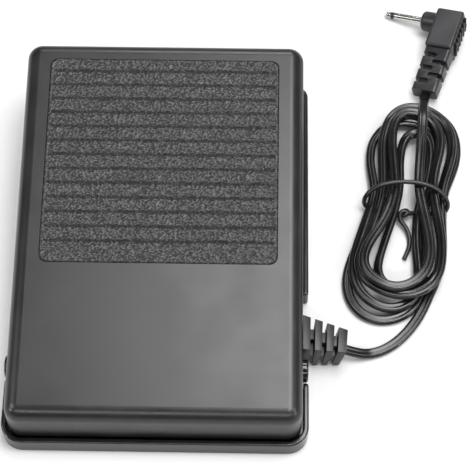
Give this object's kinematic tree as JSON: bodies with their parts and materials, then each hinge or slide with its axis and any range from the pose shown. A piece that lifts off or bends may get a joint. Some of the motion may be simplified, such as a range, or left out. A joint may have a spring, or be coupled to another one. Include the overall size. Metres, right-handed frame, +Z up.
{
  "type": "foot pedal",
  "caption": "Black wedge-shaped foot pedal with a grained, grooved tread that rocks on side pins, and a flat lead tied in a hank with a right-angle plug.",
  "frame": {"origin": "on the floor, under the middle of the tray's rim (lead, hank and plug left out)", "axes": "+X to the user's right, where the lead leaves; +Y along the pedal to the raised toe end; +Z up from the floor"},
  "size_m": [0.1591, 0.1773, 0.0371],
  "materials": {
    "tray_plastic": "satin moulded plastic",
    "cover_plastic": "fine satin moulded plastic",
    "tread_rubber": "coarse leather grain with cross grooves",
    "pin_plastic": "smooth glossy moulding",
    "spring_steel": "bright drawn wire",
    "pad_rubber": "matt rubber",
    "switch_plastic": "matt phenolic",
    "plunger_plastic": "smooth red button",
    "terminal_brass": "tinned brass",
    "screw_steel": "zinc plated",
    "clamp_plastic": "natural nylon",
    "relief_rubber": "satin flexible moulding",
    "cord_jacket": "satin flexible jacket",
    "tie_jacket": "plastic covered wire",
    "core_plain": "white insulation",
    "core_marked": "red insulation",
    "plug_plastic": "fine satin moulding",
    "plug_metal": "bright nickel plate",
    "insulator_plastic": "smooth insulator"
  },
  "bodies": {
    "base": {"base_tray": "tray_plastic", "hinge_pin_left": "pin_plastic", "hinge_pin_right": "pin_plastic", "return_spring_left": "spring_steel", "return_spring_right": "spring_steel", "stop_pads": "pad_rubber", "rubber_feet": "pad_rubber", "switch_body": "switch_plastic", "switch_terminals": "terminal_brass", "switch_screws": "screw_steel", "clamp_screws": "screw_steel", "cord_clamp": "clamp_plastic", "strain_relief": "relief_rubber", "cord_lead": "cord_jacket", "cord_plug_lead": "cord_jacket", "cord_hank": "cord_jacket", "cord_tie": "tie_jacket", "inner_cord": "cord_jacket", "core_common": "core_plain", "core_switched": "core_marked", "plug_body": "plug_plastic", "plug_sleeve": "plug_metal", "plug_ring": "insulator_plastic", "plug_tip": "plug_metal"},
    "pedal": {"top_cover": "cover_plastic", "tread_mat": "tread_rubber"},
    "plunger": {"switch_plunger": "plunger_plastic"}
  },
  "joints": [
    {"name": "pedal_rock", "type": "hinge", "parent": "base", "child": "pedal", "pos_m": [0, -0.044, 0.009], "axis": [-1, 0, 0], "range_deg": [0, 2.4], "stiffness_Nm_per_rad": 3, "springref_deg": -8.59, "deforming": ["return_spring_left", "return_spring_right"]},
    {"name": "plunger_slide", "type": "slide", "parent": "base", "child": "plunger", "axis": [0, 0, -1], "range_m": [0, 0.00125]}
  ],
  "couplings": [
    {"joint": "plunger_slide", "follows": "pedal_rock", "m_per_rad": 0.02865}
  ]
}
